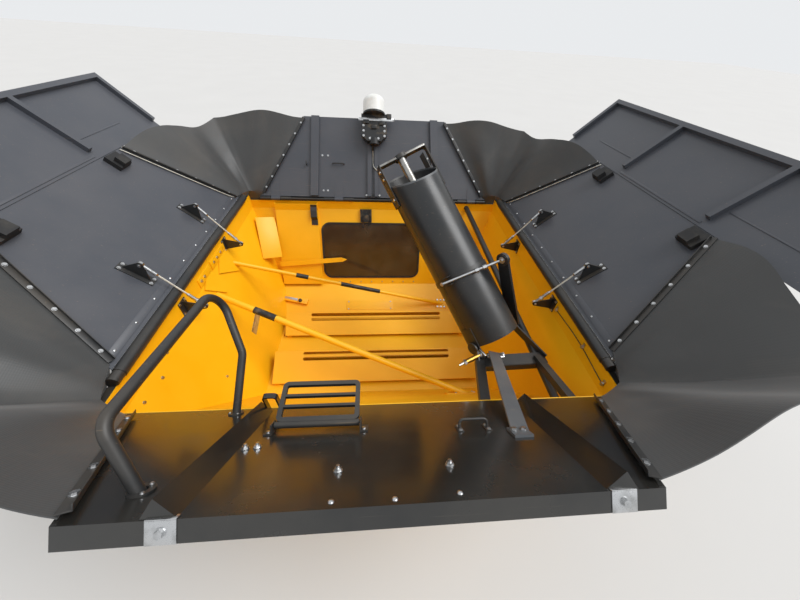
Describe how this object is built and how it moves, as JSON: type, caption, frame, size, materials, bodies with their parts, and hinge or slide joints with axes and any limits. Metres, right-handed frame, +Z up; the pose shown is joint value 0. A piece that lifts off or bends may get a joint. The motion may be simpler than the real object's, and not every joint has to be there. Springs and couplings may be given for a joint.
{
  "type": "grain tank with folding roof",
  "caption": "Sheet metal grain tank with window, cross augers, folding roof flaps and a raised filling auger that folds down inside.",
  "frame": {"origin": "centre of the base bolt pattern, on the underside of the two base rails", "axes": "+X to the machine's right, +Y forward towards the cab, +Z up"},
  "size_m": [4.7582, 3.7448, 2.5476],
  "materials": {
    "tank_paint": "satin yellow paint",
    "dark_paint": "satin dark paint",
    "slate_paint": "satin slate paint",
    "gloss_black": "gloss black paint, dusty",
    "satin_black": "satin black paint",
    "grey_paint": "grey paint",
    "screw_steel": "worn bright steel",
    "zinc": "zinc plated",
    "wire_rope": "galvanised wire rope",
    "rubber": "matt",
    "black_plastic": "matt",
    "white_plastic": "matt",
    "tinted_glass": "brown tint"
  },
  "bodies": {
    "tank": {"front_wall": "tank_paint", "rear_wall": "tank_paint", "right_wall": "tank_paint", "left_wall": "tank_paint", "window_seal": "rubber", "window_glass": "tinted_glass", "tank_floor": "tank_paint", "front_auger_cover": "tank_paint", "rear_auger_cover": "tank_paint", "left_base_rail": "dark_paint", "right_base_rail": "dark_paint", "front_support": "dark_paint", "rear_support": "dark_paint", "front_brace": "tank_paint", "rear_brace": "tank_paint", "rear_panel": "gloss_black", "handrail": "dark_paint", "step_bracket": "dark_paint", "grab_handle": "dark_paint", "right_wall_brackets": "dark_paint", "right_stays": "wire_rope", "right_rim": "dark_paint", "left_wall_brackets": "dark_paint", "left_stays": "wire_rope", "left_rim": "dark_paint", "front_hinge": "dark_paint", "auger_stand": "dark_paint", "auger_leg": "grey_paint", "side_rail": "satin_black", "front_seal": "rubber", "front_wall_strap": "dark_paint", "level_sensor": "black_plastic", "front_right_gusset": "rubber", "front_left_gusset": "rubber", "rear_right_gusset": "rubber", "rear_left_gusset": "rubber"},
    "left_flap": {"left_flap_panel": "slate_paint", "left_hinge_tube": "satin_black", "left_flap_wing": "slate_paint", "left_flap_buffers": "rubber", "left_flap_brackets": "dark_paint"},
    "right_flap": {"right_flap_panel": "slate_paint", "right_hinge_tube": "satin_black", "right_flap_wing": "slate_paint", "right_flap_buffers": "rubber", "right_flap_brackets": "dark_paint"},
    "front_flap": {"front_flap": "slate_paint", "sensor_housing": "black_plastic", "sensor_dome": "white_plastic"},
    "auger": {"auger_tube": "satin_black", "auger_trunnions": "satin_black", "auger_lower_bearing": "dark_paint", "auger_head_frame": "dark_paint", "auger_strap": "dark_paint", "link_rod": "zinc", "lever_arm": "satin_black"},
    "auger_screw": {"auger_screw": "screw_steel"},
    "front_cross_auger": {"front_cross_auger": "screw_steel"},
    "rear_cross_auger": {"rear_cross_auger": "screw_steel"},
    "step": {"folding_step": "zinc"}
  },
  "joints": [
    {"name": "left_flap_hinge", "type": "hinge", "parent": "tank", "child": "left_flap", "pos_m": [-1.4, 0, 1.54], "axis": [0, 1, 0], "range_deg": [0, 135], "deforming": ["front_right_gusset", "front_left_gusset", "rear_right_gusset", "rear_left_gusset", "left_stays", "right_stays"]},
    {"name": "right_flap_hinge", "type": "hinge", "parent": "tank", "child": "right_flap", "pos_m": [1.4, 0, 1.54], "axis": [0, -1, 0], "range_deg": [0, 135.1]},
    {"name": "front_flap_hinge", "type": "hinge", "parent": "tank", "child": "front_flap", "pos_m": [0, 1.262, 1.465], "axis": [1, 0, 0], "range_deg": [0, 129.1]},
    {"name": "auger_pivot", "type": "hinge", "parent": "tank", "child": "auger", "pos_m": [0.874, -0.62, 1.28], "axis": [-0.8181, -0.575, 0], "range_deg": [0, 52.6]},
    {"name": "auger_screw_turn", "type": "hinge", "parent": "auger", "child": "auger_screw", "pos_m": [0.874, -0.62, 1.28], "axis": [-0.45, 0.6403, 0.6225], "continuous": true},
    {"name": "front_cross_auger_turn", "type": "hinge", "parent": "tank", "child": "front_cross_auger", "pos_m": [0, 0.35, 0.2264], "axis": [1, 0, 0], "continuous": true},
    {"name": "rear_cross_auger_turn", "type": "hinge", "parent": "tank", "child": "rear_cross_auger", "pos_m": [0, -0.2, 0.2264], "axis": [1, 0, 0], "continuous": true},
    {"name": "step_hinge", "type": "hinge", "parent": "tank", "child": "step", "pos_m": [-0.265, -1.47136, 1.74749], "axis": [1, 0, 0], "range_deg": [0, 115]}
  ],
  "couplings": [
    {"joint": "right_flap_hinge", "follows": "left_flap_hinge", "ratio": 1},
    {"joint": "front_flap_hinge", "follows": "left_flap_hinge", "ratio": 0.9555},
    {"joint": "auger_pivot", "follows": "left_flap_hinge", "ratio": 0.3888}
  ]
}
